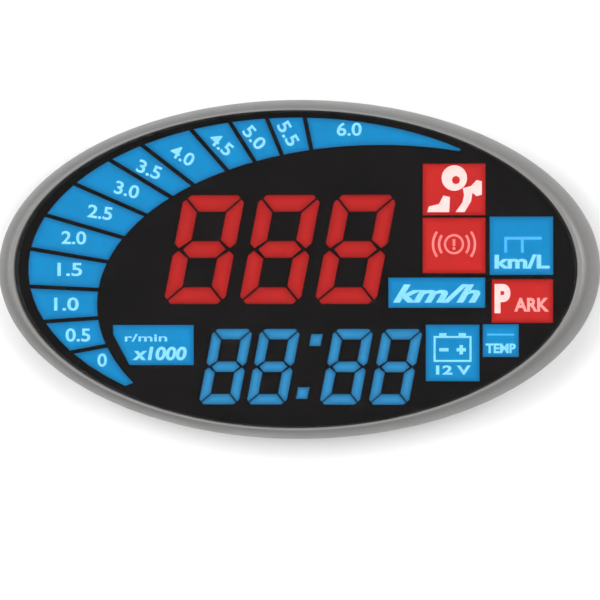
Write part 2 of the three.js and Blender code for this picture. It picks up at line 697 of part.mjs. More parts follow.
function electronicsGroup() {
  const group = new THREE.Group();
  const level = MAIN_BOARD.top + STACK;
  add(group, 'display_board', displayBoard(), 'board');
  add(group, 'main_board', mainBoard(), 'board');
  add(group, 'board_link_header', boardLinkHeader(), 'chip', [-20, 17, level]);
  add(group, 'microcontroller', chip(9, 9, 1.5, 1), 'chip', [-12, 3, level]);
  add(group, 'led_driver_1', chip(8, 5, 1.7, 1), 'chip', [6, 12, level]);
  add(group, 'led_driver_2', chip(8, 5, 1.7, 1), 'chip', [6, -12, level]);
  add(group, 'quartz_crystal', quartzCrystal(), 'metal', [-12, -12, level]);
  add(group, 'buzzer', buzzer(), 'chip', [-30, -2, level]);
  add(group, 'power_inductor', powerInductor(), 'chip', [22, 15, level]);
  add(group, 'smoothing_capacitor', smoothingCapacitor(), 'metal', [22, 3, level]);
  add(group, 'usb_socket', usbSocket(), 'metal');
  [[-STANDOFF.x, STANDOFF.y], [STANDOFF.x, -STANDOFF.y]].forEach(([x, y], index) => {
    const name = `board_screw_${index + 1}`;
    const mesh = add(group, name, screw(BOARD_SCREW), 'metal', [x, y, level + BOARD_SCREW.headHeight]);
    mesh.rotation.x = Math.PI;
  });
  return group;
}

function switchGroup() {
  const group = new THREE.Group();
  add(group, 'switch_base', switchBase(), 'chip');
  add(group, 'switch_carriage', switchCarriage(), 'white');
  add(group, 'thumb_rocker', thumbRocker(), 'caseBlack');
  return group;
}

const display = new THREE.Group();
display.add(caseGroup(), faceGroup(), electronicsGroup(), switchGroup());

export default display;
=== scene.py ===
"""Oval digital speed display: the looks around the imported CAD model. Metres, in the CAD frame."""

import json
import math

import bmesh
import bpy
from mathutils import Matrix, Vector, geometry


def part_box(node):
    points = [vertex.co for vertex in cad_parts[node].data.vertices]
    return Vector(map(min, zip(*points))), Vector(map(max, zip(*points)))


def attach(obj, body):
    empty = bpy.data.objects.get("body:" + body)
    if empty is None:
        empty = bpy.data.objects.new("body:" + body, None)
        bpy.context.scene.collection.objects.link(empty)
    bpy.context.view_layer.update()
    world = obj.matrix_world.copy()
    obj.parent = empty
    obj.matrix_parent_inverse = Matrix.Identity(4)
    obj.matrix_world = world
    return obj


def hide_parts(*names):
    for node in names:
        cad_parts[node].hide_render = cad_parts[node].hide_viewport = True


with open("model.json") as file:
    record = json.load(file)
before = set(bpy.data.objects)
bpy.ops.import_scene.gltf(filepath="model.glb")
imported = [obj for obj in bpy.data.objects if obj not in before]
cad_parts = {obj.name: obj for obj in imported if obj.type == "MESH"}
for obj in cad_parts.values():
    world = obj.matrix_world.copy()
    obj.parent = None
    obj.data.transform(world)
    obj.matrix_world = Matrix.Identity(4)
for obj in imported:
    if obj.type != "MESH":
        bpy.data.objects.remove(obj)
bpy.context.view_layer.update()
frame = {"nodes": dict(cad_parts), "record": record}

MM = 0.001
CASE = "case"
ROCKER = "rocker"

# ---------------------------------------------------------------- sizes read from the frame

ring_low, ring_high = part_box("trim_ring")
shell_low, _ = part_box("lower_shell")
lens_low, lens_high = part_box("front_lens")
_, upper_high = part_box("upper_shell")
socket_low, socket_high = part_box("usb_socket")
rocker_low, rocker_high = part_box("thumb_rocker")

RIM_RADIUS = ring_high.x
SQUASH = ring_high.y / ring_high.x
TOP = ring_high.z
LIT_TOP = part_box("speed_digit_1")[1].z

# The case walls, as radii along X
SIDE_RADIUS = upper_high.x
LIP_RADIUS = 70 * MM
LENS_POCKET = lens_high.x + 0.3 * MM
RING_BORE = SIDE_RADIUS + 0.3 * MM

# The main view's camera
LENS_LENGTH = 400
SENSOR = 36  # both in mm, as a camera gives them
CAMERA_LEAN = math.radians(7.2)
CAMERA_DISTANCE = 1.6533
CAMERA_TARGET = (0.4 * MM, -7.6 * MM, 9.5 * MM)

# The studio
FLOOR_GAP = 0.02 * MM  # keeps the floor's surface clear of the feet
WORLD_STRENGTH = 0.08
SOFTBOX_SIDE = 1.0
SOFTBOXES = {  # name: place in metres, power in watts
    "softbox_left": ((-0.88, 0.22, 1.12), 16.5),
    "softbox_right": ((0.90, 0.18, 1.12), 16.5),
    "softbox_back": ((0.0, 0.90, 1.14), 9.2),
    "softbox_front": ((0.0, -0.90, 1.12), 7.8),
}


# ---------------------------------------------------------------- materials

class Shader:
    """A Principled material with short ways to add procedural detail to it."""

    def __init__(self, name, sockets):
        self.material = bpy.data.materials.new(name)
        self.material.use_nodes = True
        self.nodes = self.material.node_tree.nodes
        self.links = self.material.node_tree.links
        self.principled = self.nodes["Principled BSDF"]
        for socket, value in sockets.items():
            self.principled.inputs[socket].default_value = value
        self.place = self.nodes.new("ShaderNodeTexCoord").outputs["Object"]

    def noise(self, scale, detail=2.0, stretch=None):
        node = self.nodes.new("ShaderNodeTexNoise")
        node.inputs["Scale"].default_value = scale
        node.inputs["Detail"].default_value = detail
        self.links.new(self.stretched(stretch), node.inputs["Vector"])
        return node.outputs["Fac"]

    def cells(self, scale):
        node = self.nodes.new("ShaderNodeTexVoronoi")
        node.inputs["Scale"].default_value = scale
        self.links.new(self.place, node.inputs["Vector"])
        return node.outputs["Distance"]

    def stretched(self, stretch):
        if stretch is None:
            return self.place
        node = self.nodes.new("ShaderNodeMapping")
        node.inputs["Scale"].default_value = stretch
        self.links.new(self.place, node.inputs["Vector"])
        return node.outputs["Vector"]

    def ranged(self, value, low, high, from_low=0.3, from_high=0.7):
        """Stretches a value to a range; the defaults suit the middle part of a noise."""
        node = self.nodes.new("ShaderNodeMapRange")
        node.inputs["From Min"].default_value = from_low
        node.inputs["From Max"].default_value = from_high
        node.inputs["To Min"].default_value = low
        node.inputs["To Max"].default_value = high
        self.links.new(value, node.inputs["Value"])
        return node.outputs["Result"]

    def mixed(self, factor, first, second):
        """Goes from the first colour to the second as the factor goes from 0 to 1."""
        node = self.nodes.new("ShaderNodeMix")
        node.data_type = "RGBA"
        self.links.new(factor, node.inputs["Factor"])
        for socket, colour in (("A", first), ("B", second)):
            target = [s for s in node.inputs if s.name == socket and s.type == "RGBA"][0]
            if isinstance(colour, bpy.types.NodeSocket):
                self.links.new(colour, target)
            else:
                target.default_value = (*colour, 1)
        return [s for s in node.outputs if s.type == "RGBA"][0]

    def height(self):
        """The height of each point above the surface that the object stands on."""
        node = self.nodes.new("ShaderNodeSeparateXYZ")
        self.links.new(self.place, node.inputs[0])
        return node.outputs["Z"]

    def attribute(self, name):
        node = self.nodes.new("ShaderNodeAttribute")
        node.attribute_name = name
        return node.outputs["Fac"]

    def set(self, socket, value):
        self.links.new(value, self.principled.inputs[socket])

    def bump(self, height, distance, strength):
        """Adds relief of a real depth, on top of any relief already there."""
        node = self.nodes.new("ShaderNodeBump")
        node.inputs["Strength"].default_value = strength
        node.inputs["Distance"].default_value = distance
        self.links.new(height, node.inputs["Height"])
        previous = self.principled.inputs["Normal"]
        if previous.is_linked:
            self.links.new(previous.links[0].from_socket, node.inputs["Normal"])
        self.links.new(node.outputs["Normal"], previous)


def satin_trim():
    """Silver paint: fine flakes, a slight orange peel and a little clear coat."""
    shader = Shader("satin_silver_paint", {
        "Metallic": 0.25, "Coat Weight": 0.05, "Coat Roughness": 0.35, "IOR": 1.4,
    })
    flakes = shader.ranged(shader.cells(5200), 0, 1, 0.1, 0.6)
    shader.set("Base Color", shader.mixed(flakes, (0.200, 0.197, 0.193), (0.163, 0.161, 0.158)))
    shader.set("Roughness", shader.ranged(shader.noise(140, 3), 0.40, 0.50))
    shader.bump(shader.noise(1500, 2), 0.006 * MM, 0.6)
    return shader.material


def case_black():
    """Black moulding with a spark-eroded grain and faint flow marks."""
    shader = Shader("case_black_grain", {"IOR": 1.48})
    cloud = shader.ranged(shader.noise(35, 4), 0, 1)
    shader.set("Base Color", shader.mixed(cloud, (0.017, 0.017, 0.019), (0.024, 0.024, 0.026)))
    shader.set("Roughness", shader.ranged(shader.noise(260, 3), 0.48, 0.62))
    shader.bump(shader.noise(2600, 3), 0.03 * MM, 0.7)
    return shader.material


def mask_black():
    """Matt black print, a little cloudy."""
    shader = Shader("mask_print_black", {"IOR": 1.45, "Specular IOR Level": 0.06})
    cloud = shader.ranged(shader.noise(90, 3), 0, 1)
    black = shader.mixed(cloud, (0.0050, 0.0038, 0.0038), (0.0078, 0.0060, 0.0058))
    shader.set("Base Color", black)
    shader.set("Roughness", shader.ranged(shader.noise(1400, 2), 0.5, 0.65))
    shader.bump(shader.noise(3200, 1), 0.008 * MM, 0.5)
    return shader.material


UNLIT_SHARE = 0.35  # how much of a light's colour its diffuser shows without the light


def times(share, colour):
    return [share * c for c in colour]


def lit(name, dim, bright, strength):
    """A diffuser lit from behind: dimmer along its edges, faintly grained."""
    shader = Shader(name, {
        "Roughness": 0.35, "IOR": 1.49, "Specular IOR Level": 0.1, "Emission Strength": strength,
    })
    edge = shader.ranged(shader.attribute("glow"), 0, 1, 0, 1)
    unlit = shader.mixed(edge, times(UNLIT_SHARE, dim), times(UNLIT_SHARE, bright))
    shader.set("Base Color", unlit)
    cloud = shader.ranged(shader.noise(210, 2), 0, 1)
    cloudy = shader.mixed(cloud, bright, times(0.86, bright))
    shader.set("Emission Color", shader.mixed(edge, dim, cloudy))
    shader.bump(shader.noise(2400, 2), 0.01 * MM, 0.4)
    return shader.material


def printed_mark(name, colour, strength):
    """Translucent print that the light behind it brightens."""
    shader = Shader(name, {"Roughness": 0.4, "Emission Strength": strength})
    cloud = shader.ranged(shader.noise(700, 3), 0, 1)
    tint = shader.mixed(cloud, colour, times(0.88, colour))
    shader.set("Base Color", tint)
    shader.set("Emission Color", tint)
    return shader.material


def clear_window():
    """Polished acrylic, with the faint waviness of a moulded sheet."""
    shader = Shader("clear_acrylic", {
        "Base Color": (1, 1, 1, 1), "Roughness": 0.02, "IOR": 1.49, "Transmission Weight": 1.0,
    })
    shader.bump(shader.noise(30, 1), 0.01 * MM, 0.3)
    return shader.material


def plain_plastic(name, light, dark, rough_low, rough_high, grain, depth):
    """A moulded plastic or foam: two close tones, uneven gloss and a fine grain with a depth in mm."""
    shader = Shader(name, {"IOR": 1.48})
    shader.set("Base Color", shader.mixed(shader.ranged(shader.noise(80, 3), 0, 1), light, dark))
    shader.set("Roughness", shader.ranged(shader.noise(400, 3), rough_low, rough_high))
    shader.bump(shader.noise(grain, 3), depth * MM, 0.6)
    return shader.material


LED_FOOT, LED_BODY = 10.85 * MM, 10.95 * MM  # the heights between which the board turns into its LEDs


def circuit_board():
    """Green solder mask over copper, with pale LED bodies where the part stands above the board."""
    shader = Shader("solder_mask_green", {"Roughness": 0.32, "IOR": 1.5, "Coat Weight": 0.3})
    tracks = shader.nodes.new("ShaderNodeTexBrick")
    tracks.inputs["Scale"].default_value = 420
    tracks.inputs["Mortar Size"].default_value = 0.08
    shader.links.new(shader.place, tracks.inputs["Vector"])
    copper = shader.mixed(tracks.outputs["Fac"], (0.012, 0.10, 0.045), (0.020, 0.17, 0.075))
    led_bodies = shader.ranged(shader.height(), 0, 1, LED_FOOT, LED_BODY)
    shader.set("Base Color", shader.mixed(led_bodies, copper, (0.70, 0.68, 0.55)))
    shader.bump(tracks.outputs["Fac"], 0.02 * MM, 0.5)
    return shader.material


def drawn_metal(name, light, dark, roughness, scratches):
    """Bare or plated metal with fine streaks along its height."""
    shader = Shader(name, {"Metallic": 1.0})
    streaks = shader.noise(scratches, 4, (1, 1, 0.08))
    shader.set("Base Color", shader.mixed(shader.ranged(streaks, 0, 1), light, dark))
    shader.set("Roughness", shader.ranged(streaks, roughness - 0.07, roughness + 0.1))
    shader.bump(streaks, 0.006 * MM, 0.5)
    return shader.material


def foot_rubber():
    """Soft black rubber with a little dust."""
    shader = Shader("foot_rubber", {"IOR": 1.5, "Sheen Weight": 0.15, "Sheen Roughness": 0.6})
    dust = shader.ranged(shader.noise(150, 4), 0, 1, 0.5, 0.8)
    shader.set("Base Color", shader.mixed(dust, (0.013, 0.013, 0.013), (0.035, 0.034, 0.032)))
    shader.set("Roughness", shader.ranged(shader.noise(500, 3), 0.75, 0.92))
    shader.bump(shader.noise(1800, 4), 0.04 * MM, 0.8)
    return shader.material


# The middle and the edge of a lit window
BLUE = (0.002, 0.285, 0.64)
BLUE_EDGE = (0.002, 0.18, 0.43)
RED = (0.78, 0.026, 0.023)
RED_EDGE = (0.53, 0.010, 0.009)

MATERIALS = {
    "satin_trim": satin_trim(),
    "case_black": case_black(),
    "clear_window": clear_window(),
    "adhesive": plain_plastic(
        "foam_tape_black", (0.02, 0.02, 0.02), (0.03, 0.03, 0.03), 0.8, 0.95, 1500, 0.05),
    "mask_black": mask_black(),
    "lit_red": lit("lit_red", RED_EDGE, RED, 0.52),
    "lit_blue": lit("lit_blue", BLUE_EDGE, BLUE, 0.72),
    "reflector_white": plain_plastic(
        "reflector_white", (0.80, 0.80, 0.78), (0.74, 0.74, 0.71), 0.35, 0.5, 900, 0.01),
    "circuit_board": circuit_board(),
    "chip_black": plain_plastic(
        "chip_epoxy", (0.02, 0.02, 0.022), (0.03, 0.03, 0.032), 0.45, 0.6, 3000, 0.01),
    "bare_metal": drawn_metal("drawn_steel", (0.66, 0.66, 0.67), (0.52, 0.52, 0.54), 0.26, 900),
    "screw_steel": drawn_metal("zinc_plated_steel", (0.60, 0.60, 0.60), (0.42, 0.43, 0.45), 0.34, 1600),
    "slider_white": plain_plastic(
        "natural_nylon", (0.74, 0.73, 0.69), (0.68, 0.67, 0.63), 0.4, 0.55, 1200, 0.01),
    "foot_rubber": foot_rubber(),
}
CLOCK_BLUE = lit("lit_clock_blue", (0.016, 0.20, 0.44), (0.045, 0.38, 0.76), 0.52)
DIGIT_RED = lit("lit_digit_red", (0.46, 0.009, 0.008), (0.69, 0.022, 0.019), 0.50)
MARK_ON_BLUE = printed_mark("mark_on_blue", (0.20, 0.58, 0.80), 0.57)
FAINT_MARK_ON_BLUE = printed_mark("faint_mark_on_blue", (0.04, 0.38, 0.80), 0.55)
MARK_ON_RED = printed_mark("mark_on_red", (0.90, 0.56, 0.54), 0.55)
SOFT_MARK_ON_RED = printed_mark("soft_mark_on_red", (0.86, 0.31, 0.28), 0.5)
FAINT_MARK_ON_RED = printed_mark("faint_mark_on_red", (0.78, 0.19, 0.18), 0.6)


# ---------------------------------------------------------------- making pieces

def finished(piece, body, slot, material=None, nodes=()):
    """Gives a piece its material, that of its slot unless another is given, and its body, and hides the
    CAD nodes it stands for.
    """
    piece.data.materials.clear()
    piece.data.materials.append(material or MATERIALS[slot])
    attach(piece, body)
    if nodes:
        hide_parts(*nodes)
    return piece


def object_of(name, mesh):
    piece = bpy.data.objects.new(name, mesh)
    bpy.context.scene.collection.objects.link(piece)
    return piece


def mesh_from(name, bm, smooth=True):
    for face in bm.faces:
        face.smooth = smooth
    mesh = bpy.data.meshes.new(name)
    bm.to_mesh(mesh)
    bm.free()
    return mesh


def softened(piece, width):
    """Rounds a piece's sharp edges and keeps its flat faces flat."""
    bevel = piece.modifiers.new("edges", "BEVEL")
    bevel.limit_method = "ANGLE"
    bevel.angle_limit = math.radians(35)
    bevel.width = width
    bevel.segments = 2
    bevel.harden_normals = True
    bevel.use_clamp_overlap = True
    return piece


def welded_copy(node):
    """A CAD node's mesh as a bmesh whose facets share their corners."""
    bm = bmesh.new()
    bm.from_mesh(frame["nodes"][node].data)
    bmesh.ops.remove_doubles(bm, verts=bm.verts, dist=0.001 * MM)
    bmesh.ops.dissolve_limit(
        bm, angle_limit=math.radians(0.5), verts=bm.verts, edges=bm.edges, delimit=set())
    return bm


def refined(node, slot, width, body=CASE):
    """Stands for a CAD node with the same shape and rounded edges."""
    piece = object_of(f"{node}_body", mesh_from(node, welded_copy(node)))
    softened(piece, width)
    return finished(piece, body, slot, nodes=[node])


def swept_oval(name, profile, sides):
    """A closed wall that follows the oval: a closed profile of (radius, height) swept round it."""
    bm = bmesh.new()
    rings = []
    for step in range(sides):
        turn = 2 * math.pi * step / sides
        across, along = math.cos(turn), math.sin(turn) * SQUASH
        rings.append([bm.verts.new((r * across, r * along, z)) for r, z in profile])
    for step in range(sides):
        here, there = rings[step], rings[(step + 1) % sides]
        for i in range(len(profile)):
            j = (i + 1) % len(profile)
            bm.faces.new((here[i], there[i], there[j], here[j]))
    bmesh.ops.remove_doubles(bm, verts=bm.verts, dist=0.0005 * MM)
    bmesh.ops.recalc_face_normals(bm, faces=bm.faces)
    return object_of(name, mesh_from(name, bm))


def arc(cx, cz, rx, rz, start, end, steps):
    """Points along an ellipse in the (radius, height) plane, between two angles in degrees."""
    angles = [math.radians(start + (end - start) * i / steps) for i in range(steps + 1)]
    return [(cx + rx * math.cos(a), cz + rz * math.sin(a)) for a in angles]


BOX_FACES = ((0, 2, 3, 1), (4, 5, 7, 6), (0, 1, 5, 4), (2, 6, 7, 3), (0, 4, 6, 2), (1, 3, 7, 5))


def box_mesh(bm, low, high):
    """Adds a box to a mesh; its corners count in X first, then in Y and Z."""
    (x0, y0, z0), (x1, y1, z1) = low, high
    corners = [bm.verts.new((x, y, z)) for z in (z0, z1) for y in (y0, y1) for x in (x0, x1)]
    for face in BOX_FACES:
        bm.faces.new([corners[i] for i in face])


def cutter_box(low, high):
    bm = bmesh.new()
    box_mesh(bm, low, high)
    return object_of("cutter", mesh_from("cutter", bm, smooth=False))


def cutter_rod(x, y, radius, bottom, top):
    bm = bmesh.new()
    bmesh.ops.create_cone(
        bm, cap_ends=True, segments=48, radius1=radius, radius2=radius, depth=top - bottom,
        matrix=Matrix.Translation((x, y, (bottom + top) / 2)))
    return object_of("cutter", mesh_from("cutter", bm, smooth=False))


def carve(piece, operation, tools):
    """Joins or cuts a piece by some tools, and removes the tools."""
    for tool in tools:
        step = piece.modifiers.new("carve", "BOOLEAN")
        step.operation = operation
        step.solver = "EXACT"
        step.object = tool
    bpy.context.view_layer.update()
    evaluated = piece.evaluated_get(bpy.context.evaluated_depsgraph_get())
    mesh = bpy.data.meshes.new_from_object(evaluated)
    piece.modifiers.clear()
    piece.data = mesh
    for tool in tools:
        bpy.data.objects.remove(tool)
    return piece


def middle(node):
    low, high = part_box(node)
    return (low + high) / 2


# ---------------------------------------------------------------- ring and window

SUPPORT = 0.15 * MM  # a loop this far in from a round keeps the flat beside it flat in shading
SHOULDER = (70.2 * MM, 10.2 * MM)  # the middle of the dome's ellipse
LIP_WIDTH, LIP_HEIGHT = 1.1 * MM, 0.8 * MM
HEEL = 0.9 * MM  # the round under the rim


def make_trim_ring():
    """The satin bezel: a rolled dome from the rim up to the lip, with a small round at the lip."""
    skirt = ring_low.z
    over_lens, over_case = lens_high.z + 0.1 * MM, upper_high.z + 0.2 * MM
    dome = arc(*SHOULDER, RIM_RADIUS - SHOULDER[0], TOP - SHOULDER[1], 0, 90, 26)
    lip_round = arc(LIP_RADIUS + LIP_WIDTH, TOP - LIP_HEIGHT, LIP_WIDTH, LIP_HEIGHT, 92, 180, 8)
    heel = arc(RIM_RADIUS - HEEL, skirt + HEEL, HEEL, HEEL, -90, -6, 6)
    inside = [
        (LIP_RADIUS, over_lens),
        (LENS_POCKET, over_lens),
        (LENS_POCKET, over_case),
        (RING_BORE, over_case),
        (RING_BORE, skirt),
    ]
    ring = swept_oval("trim_ring_body", heel + dome + lip_round + inside, 288)
    sharp_by_angle(ring.data, 40)
    return finished(ring, CASE, "satin_trim", nodes=["trim_ring"])


def sharp_by_angle(mesh, angle):
    """Shades an edge smooth only where its faces meet at less than an angle in degrees."""
    bm = bmesh.new()
    bm.from_mesh(mesh)
    for edge in bm.edges:
        edge.smooth = edge.calc_face_angle(0) < math.radians(angle)
    bm.to_mesh(mesh)
    bm.free()


def make_window():
    """The clear lens, with a polished round along its edge."""
    radius = lens_high.x
    edge = 0.3 * MM
    profile = [(0, lens_low.z), (radius, lens_low.z)]
    profile += arc(radius - edge, lens_high.z - edge, edge, edge, 0, 90, 5)
    profile += [(radius - edge - SUPPORT, lens_high.z), (0, lens_high.z)]
    lens = swept_oval("front_lens_body", profile, 192)
    sharp_by_angle(lens.data, 30)
    return finished(lens, CASE, "clear_window", nodes=["front_lens"])


# ---------------------------------------------------------------- lit pieces

GRID = 0.6  # mm between the points that carry the glow
CLEARANCE = 0.3  # share of the grid that stays free along a window's edge


def to_outline(point, outline):
    """The distance from a point to a closed outline, and whether the point is inside it."""
    nearest = math.inf
    inside = False
    for i, end in enumerate(outline):
        start = outline[i - 1]
        along = end - start
        share = max(0.0, min(1.0, (point - start).dot(along) / along.length_squared))
        nearest = min(nearest, (point - start - along * share).length)
        if (start.y > point.y) != (end.y > point.y):
            if point.x < start.x + (point.y - start.y) * along.x / along.y:
                inside = not inside
    return nearest, inside


def fill_window(bm, face, glow, fade):
    """Fills a window's top with a fine net whose glow falls off towards the window's edge."""
    rim = list(face.verts)
    outline = [vertex.co.xy / MM for vertex in rim]
    low_x, high_x = min(p.x for p in outline), max(p.x for p in outline)
    low_y, high_y = min(p.y for p in outline), max(p.y for p in outline)
    inner, values = [], []
    for row in range(int((high_y - low_y) / GRID) + 1):
        for column in range(int((high_x - low_x) / GRID) + 1):
            shift = GRID / 2 if row % 2 else 0
            point = Vector((low_x + column * GRID + shift, low_y + row * GRID))
            distance, inside = to_outline(point, outline)
            if inside and distance > CLEARANCE * GRID:
                inner.append(point)
                values.append(min(1.0, distance / fade))
    ring = [(i, (i + 1) % len(rim)) for i in range(len(rim))]
    points, _, triangles, sources, _, _ = geometry.delaunay_2d_cdt(outline + inner, ring, [], 1, 1e-5)
    corners = []
    for point, (source, *_) in zip(points, sources):
        if source < len(rim):
            corners.append(rim[source])
            continue
        corner = bm.verts.new((point.x * MM, point.y * MM, LIT_TOP))
        corner[glow] = values[source - len(rim)]
        corners.append(corner)
    bm.faces.remove(face)
    for triangle in triangles:
        bm.faces.new([corners[i] for i in triangle])


def make_lit_piece(node, slot, fade, material):
    """A light insert: an even glow in each window that fades along the window's edge."""
    bm = welded_copy(node)
    bm.normal_update()
    glow = bm.verts.layers.float.new("glow")
    near_top = LIT_TOP - 0.1 * MM
    for face in [f for f in bm.faces if f.normal.z > 0.9 and f.calc_center_median().z > near_top]:
        fill_window(bm, face, glow, fade)
    bm.normal_update()
    piece = object_of(f"{node}_body", mesh_from(node, bm, smooth=False))
    return finished(piece, CASE, slot, material, nodes=[node])


# ---------------------------------------------------------------- printed marks

PRINT = 0.12 * MM  # thickness of a printed mark, half of it sunk in the diffuser
PRINT_EDGE = 0.02 * MM  # the bevel round it


def converted(curve):
    """The mesh of a curve or text."""
    holder = object_of("mark", curve)
    bpy.context.view_layer.update()
    evaluated = holder.evaluated_get(bpy.context.evaluated_depsgraph_get())
    mesh = bpy.data.meshes.new_from_object(evaluated)
    bpy.data.objects.remove(holder)
    return mesh


def drawn(loops):
    """A flat solid from closed loops of (x, y) in mm; loops inside loops are holes."""
    curve = bpy.data.curves.new("mark", "CURVE")
    curve.dimensions = "2D"
    curve.fill_mode = "BOTH"
    curve.extrude = PRINT / 2 - PRINT_EDGE
    curve.bevel_depth = PRINT_EDGE
    curve.bevel_resolution = 1
    curve.offset = -PRINT_EDGE
    for loop in loops:
        spline = curve.splines.new("POLY")
        spline.points.add(len(loop) - 1)
        for point, (x, y) in zip(spline.points, loop):
            point.co = (x * MM, y * MM, 0, 1)
        spline.use_cyclic_u = True
    return converted(curve), 0, 0, 0


def written(text, width, height, x, y, angle=0.0, slant=0.0, weight=0.035):
    """Raised characters stretched to a width and height in mm, round the point (x, y) in mm."""
    font = bpy.data.curves.new("mark", "FONT")
    font.body = text
    font.size = 1.0
    font.shear = slant
    font.offset = weight
    font.extrude = 0.5
    font.resolution_u = 6
    mesh = converted(font)
    low_x, high_x = min(v.co.x for v in mesh.vertices), max(v.co.x for v in mesh.vertices)
    low_y, high_y = min(v.co.y for v in mesh.vertices), max(v.co.y for v in mesh.vertices)
    centre = Vector(((low_x + high_x) / 2, (low_y + high_y) / 2, 0))
    fit = (width * MM / (high_x - low_x), height * MM / (high_y - low_y), PRINT, 1)
    mesh.transform(Matrix.Diagonal(fit) @ Matrix.Translation(-centre))
    return mesh, x * MM, y * MM, angle


def mark(name, parts, slot, material):
    """One printed piece from parts of (mesh, x, y, angle), standing a little proud of the diffuser."""
    bm = bmesh.new()
    for mesh, x, y, angle in parts:
        mesh.transform(Matrix.Translation((x, y, LIT_TOP)) @ Matrix.Rotation(angle, 4, "Z"))
        bm.from_mesh(mesh)
    piece = object_of(name, mesh_from(name, bm, smooth=False))
    return finished(piece, CASE, slot, material)


# The shapes of marks are loops of (x, y) in mm

def circle(x, y, radius, steps=28, start=0.0, end=360.0):
    """A circle, or an arc of one between two angles in degrees."""
    count = steps if abs(end - start) >= 360 else steps + 1
    turns = [math.radians(start + (end - start) * i / steps) for i in range(count)]
    return [(x + radius * math.cos(turn), y + radius * math.sin(turn)) for turn in turns]


def arc_band(x, y, inner, outer, start, end):
    return circle(x, y, outer, 14, start, end) + circle(x, y, inner, 14, end, start)


def rectangle(x, y, width, height):
    left, right, bottom, top = x - width / 2, x + width / 2, y - height / 2, y + height / 2
    return [(left, bottom), (right, bottom), (right, top), (left, top)]


def cross(x, y, size, width):
    """An upright cross: its first six corners, then the same ones through its middle."""
    near, far = width / 2, size / 2
    corners = [(near, near), (near, far), (-near, far), (-near, near), (-far, near), (-far, -near)]
    corners += [(-px, -py) for px, py in corners]
    return [(x + px, y + py) for px, py in corners]


def shifted(loop, at):
    return [(at.x + x, at.y + y) for x, y in loop]


def centre_of(node):
    """The middle of a CAD node seen from above, in mm."""
    return middle(node).xy / MM


NUMERAL = 3.3  # mm, the height of the gauge's numerals
DIGIT_WIDTH = 2.35
POINT_WIDTH = 1.5
GAUGE_HUB = Vector((11.8, -8))  # mm, the point that the numerals are turned about
GAUGE_STEP = 0.5
LAST_BAR = 12
UPRIGHT_BARS = 4  # the first bars, whose numerals don't lean
WIDE_BARS = (5, 6)
# How far a numeral stands from the middle of its bar, in mm
FIRST_SHIFT = Vector((-0.2, 1.6))
LAST_SHIFT = Vector((-8.5, 1.3))
UPRIGHT_INWARDS, WIDE_INWARDS, NARROW_INWARDS = 0.6, 1.2, -0.7


def gauge_label_place(index):
    """Where a bar's numeral stands, and how it is turned with the bar."""
    centre = centre_of(f"gauge_bar_{index + 1:02d}")
    if index == 0:
        return centre + FIRST_SHIFT, 0.0
    if index == LAST_BAR:
        return centre + LAST_SHIFT, 0.0
    inwards = (GAUGE_HUB - centre).normalized()
    if index < UPRIGHT_BARS:
        return centre + inwards * UPRIGHT_INWARDS, 0.0
    shift = WIDE_INWARDS if index in WIDE_BARS else NARROW_INWARDS
    lean = min(0.0, math.atan2(inwards.y, inwards.x) + math.radians(12))
    return centre + inwards * shift, lean


def make_gauge_labels():
    for index in range(LAST_BAR + 1):
        text = f"{index * GAUGE_STEP:.1f}" if index else "0"
        width = 2 * DIGIT_WIDTH + POINT_WIDTH if index else DIGIT_WIDTH
        at, lean = gauge_label_place(index)
        numeral = written(text, width, NUMERAL, at.x, at.y, lean, weight=0.02)
        mark(f"gauge_numeral_{index + 1:02d}", [numeral], "lit_blue", MARK_ON_BLUE)


def make_seat_belt_mark():
    """A seated figure: head, shoulder, and a belt that runs down and across to its buckle."""
    at = centre_of("seat_belt_tile")
    head = [circle(at.x + 0.1, at.y + 2.8, 3.15), circle(at.x + 0.5, at.y + 2.3, 1.0, 20)]
    shoulder = [(-6.6, -5.6), (-6.2, -4.2), (-3.7, -3.6), (-2.6, -1.5), (-1.0, -1.9), (-1.2, -5.6)]
    belt = [
        (2.2, 0.3), (4.2, 0.8), (5.6, 2.3), (6.9, 2.0), (6.9, -1.3), (5.6, -1.7), (4.6, -0.8),
        (4.2, -3.0), (2.6, -5.6), (0.4, -5.6), (2.1, -3.2), (2.5, -1.4),
    ]
    parts = [drawn(head)] + [drawn([shifted(loop, at)]) for loop in (shoulder, belt)]
    mark("seat_belt_mark", parts, "lit_red", MARK_ON_RED)


def make_brake_mark():
    """An exclamation mark in a ring, between pairs of arcs."""
    at = centre_of("brake_tile")
    middle_y = at.y + 0.3
    ring = [circle(at.x, middle_y, 2.5), circle(at.x, middle_y, 1.95)]
    stroke = rectangle(at.x, middle_y + 0.4, 0.65, 1.7)
    dot = circle(at.x, middle_y - 1.05, 0.38, 14)
    sides = [
        arc_band(at.x, middle_y, radius, radius + 0.6, facing - 36, facing + 36)
        for radius in (3.4, 4.9) for facing in (0, 180)
    ]
    parts = [drawn(ring), drawn([stroke]), drawn([dot]), drawn(sides)]
    mark("brake_mark", parts, "lit_red", FAINT_MARK_ON_RED)


def make_parking_mark():
    """The word "park": a tall first letter and three small ones, in two strengths of print."""
    at = centre_of("parking_tile")
    letter = written("P", 3.9, 7.2, at.x - 4.9, at.y + 0.6, weight=0.05)
    rest = written("ARK", 8.6, 3.4, at.x + 2.3, at.y - 0.9)
    mark("parking_mark", [letter], "lit_red", MARK_ON_RED)
    mark("parking_small_mark", [rest], "lit_red", SOFT_MARK_ON_RED)


